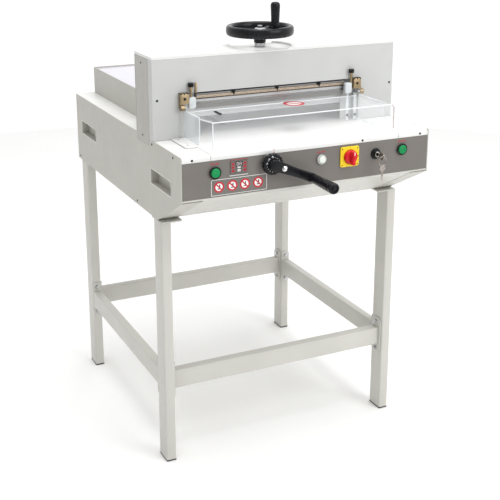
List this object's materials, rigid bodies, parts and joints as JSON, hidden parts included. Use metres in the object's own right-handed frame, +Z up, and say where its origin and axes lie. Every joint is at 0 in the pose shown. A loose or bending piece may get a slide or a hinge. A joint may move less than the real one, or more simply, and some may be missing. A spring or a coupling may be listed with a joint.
{
  "type": "electric guillotine paper cutter on stand",
  "caption": "Stand-mounted electric stack paper cutter: bridge with handwheel clamp and knife, clear hinged guard, front crank for the back gauge, control panel, rear hood and tube legs.",
  "frame": {"origin": "on the floor, at the middle of the whole footprint, crank grip included", "axes": "+Z up, +X along the knife to the operator's right, +Y from the operator to the rear"},
  "size_m": [0.774, 1.1074, 1.336],
  "materials": {
    "beige_paint": "satin powder coat",
    "white_paint": "satin powder coat",
    "panel_grey": "matte",
    "bed_steel": "smooth light plate",
    "steel": "brushed",
    "blade_steel": "ground and polished",
    "chrome": "polished",
    "cast": "painted casting",
    "brass": "machined",
    "black_plastic": "satin",
    "rubber": "matte",
    "red_plastic": "gloss",
    "green_plastic": "gloss",
    "white_plastic": "gloss",
    "yellow_plastic": "satin",
    "clear_plastic": "clear gloss",
    "milky_plastic": "translucent satin"
  },
  "bodies": {
    "frame": {"leg_front_left": "beige_paint", "leg_front_right": "beige_paint", "leg_back_left": "beige_paint", "leg_back_right": "beige_paint", "bar_front": "beige_paint", "bar_back": "beige_paint", "bar_left": "beige_paint", "bar_right": "beige_paint", "side_panel_left": "beige_paint", "side_panel_right": "beige_paint", "bottom_pan": "beige_paint", "rear_panel": "beige_paint", "rear_walls": "beige_paint", "bridge_front": "beige_paint", "bridge_side_left": "beige_paint", "bridge_side_right": "beige_paint", "bridge_back": "beige_paint", "front_table": "white_paint", "rear_deck": "white_paint", "bridge_top": "white_paint", "control_panel": "panel_grey", "bed": "bed_steel", "key_barrel": "chrome", "cheek_left": "cast", "cheek_right": "cast", "head_beam": "cast", "drive_unit": "cast", "hinge_block_left": "brass", "hinge_block_right": "brass", "display_pad": "black_plastic", "power_inlet": "black_plastic", "foot_pad_front_left": "rubber", "foot_pad_front_right": "rubber", "foot_pad_back_left": "rubber", "foot_pad_back_right": "rubber", "cutting_stick": "white_plastic", "switch_plate": "yellow_plastic", "rear_lid": "milky_plastic"},
    "clamp_wheel": {"handwheel": "black_plastic", "clamp_spindle": "steel"},
    "wheel_knob": {"handwheel_grip": "black_plastic"},
    "clamp": {"clamp_beam": "steel"},
    "knife_slide": {"knife_carrier": "steel", "knife": "blade_steel"},
    "guard": {"guard": "clear_plastic"},
    "crank": {"crank_dial": "black_plastic", "crank_arm": "black_plastic", "lead_screw": "steel"},
    "crank_handle": {"crank_grip": "black_plastic"},
    "gauge": {"back_gauge": "steel"},
    "cut_button_left": {"button_left": "green_plastic"},
    "cut_button_right": {"button_right": "green_plastic"},
    "start_button": {"button_centre": "white_plastic"},
    "main_switch": {"switch_knob": "red_plastic"},
    "panel_key": {"key": "chrome"},
    "spare_key": {"key_ring": "chrome"},
    "left_thumb_screw": {"thumb_screw_left": "black_plastic"},
    "right_thumb_screw": {"thumb_screw_right": "black_plastic"}
  },
  "joints": [
    {"name": "handwheel_turn", "type": "hinge", "parent": "frame", "child": "clamp_wheel", "pos_m": [-0.024, -0.12775, 1.2], "axis": [0, 0, -1], "range_deg": [0, 2250]},
    {"name": "handwheel_grip_spin", "type": "hinge", "parent": "clamp_wheel", "child": "wheel_knob", "pos_m": [-0.00692, -0.1915, 1.3], "axis": [0, 0, 1], "continuous": true},
    {"name": "clamp_press", "type": "slide", "parent": "frame", "child": "clamp", "axis": [0, 0, -1], "range_m": [0, 0.0505]},
    {"name": "knife_cut", "type": "slide", "parent": "frame", "child": "knife_slide", "axis": [0.29, 0, -0.957], "range_m": [0, 0.0815]},
    {"name": "guard_lift", "type": "hinge", "parent": "frame", "child": "guard", "pos_m": [-0.017, -0.21575, 1.062], "axis": [-1, 0, 0], "range_deg": [0, 85]},
    {"name": "gauge_crank_turn", "type": "hinge", "parent": "frame", "child": "crank", "pos_m": [-0.128, -0.36575, 0.932], "axis": [0, 1, 0], "range_deg": [-7560, 4032]},
    {"name": "crank_grip_spin", "type": "hinge", "parent": "crank", "child": "crank_handle", "pos_m": [-0.01202, -0.49575, 0.88277], "axis": [0, 1, 0], "continuous": true},
    {"name": "gauge_travel", "type": "slide", "parent": "frame", "child": "gauge", "axis": [0, 1, 0], "range_m": [-0.2105, 0.1125]},
    {"name": "left_button_press", "type": "slide", "parent": "frame", "child": "cut_button_left", "axis": [0, 1, 0], "range_m": [0, 0.003], "stiffness_N_per_m": 600},
    {"name": "right_button_press", "type": "slide", "parent": "frame", "child": "cut_button_right", "axis": [0, 1, 0], "range_m": [0, 0.003], "stiffness_N_per_m": 600},
    {"name": "start_button_press", "type": "slide", "parent": "frame", "child": "start_button", "axis": [0, 1, 0], "range_m": [0, 0.003], "stiffness_N_per_m": 600},
    {"name": "main_switch_turn", "type": "hinge", "parent": "frame", "child": "main_switch", "pos_m": [0.12, -0.41575, 0.922], "axis": [0, -1, 0], "range_deg": [-90, 0]},
    {"name": "key_turn", "type": "hinge", "parent": "frame", "child": "panel_key", "pos_m": [0.207, -0.42575, 0.92], "axis": [0, -1, 0], "range_deg": [-90, 0]},
    {"name": "spare_key_swing", "type": "hinge", "parent": "panel_key", "child": "spare_key", "pos_m": [0.207, -0.44205, 0.92], "axis": [0, 1, 0], "range_deg": [-45, 45]},
    {"name": "left_thumb_screw_turn", "type": "hinge", "parent": "frame", "child": "left_thumb_screw", "pos_m": [-0.276, -0.21075, 1.12], "axis": [0, 0, 1], "range_deg": [0, 360]},
    {"name": "right_thumb_screw_turn", "type": "hinge", "parent": "frame", "child": "right_thumb_screw", "pos_m": [0.238, -0.21075, 1.12], "axis": [0, 0, 1], "range_deg": [0, 360]}
  ],
  "couplings": [
    {"joint": "clamp_press", "follows": "handwheel_turn", "m_per_rad": 0.0012732},
    {"joint": "gauge_travel", "follows": "gauge_crank_turn", "m_per_rad": 0.0015915}
  ]
}
